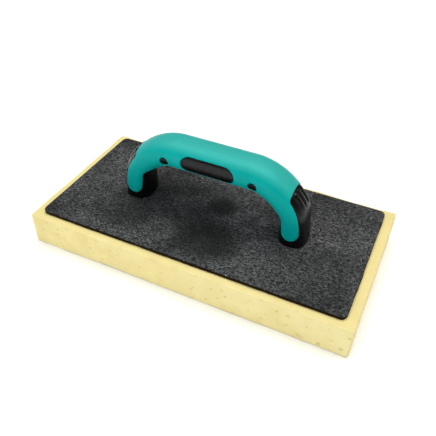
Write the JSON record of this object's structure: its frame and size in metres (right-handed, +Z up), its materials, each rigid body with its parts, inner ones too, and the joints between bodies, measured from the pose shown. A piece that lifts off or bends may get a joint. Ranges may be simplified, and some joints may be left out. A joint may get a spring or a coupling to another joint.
{
  "type": "sponge float",
  "caption": "Hand float with a foam pad glued under a stiff plate and a two-component arch handle, for wiping grout and smoothing plaster.",
  "frame": {"origin": "centre of the sponge's working face, which is the lowest face of the float", "axes": "+X along the float's length and its handle, +Y across it, +Z up from the working face to the handle"},
  "size_m": [0.28, 0.14, 0.0972],
  "materials": {
    "sponge": "matte",
    "adhesive": "satin",
    "plate_plastic": "matte",
    "core_plastic": "satin",
    "grip_rubber": "satin",
    "screw_steel": "satin"
  },
  "bodies": {
    "root": {"sponge_pad": "sponge", "adhesive_layer": "adhesive", "back_plate": "plate_plastic", "handle_core": "core_plastic", "soft_grip": "grip_rubber", "handle_screw_1": "screw_steel", "handle_screw_2": "screw_steel", "handle_screw_3": "screw_steel", "handle_screw_4": "screw_steel"}
  },
  "joints": []
}
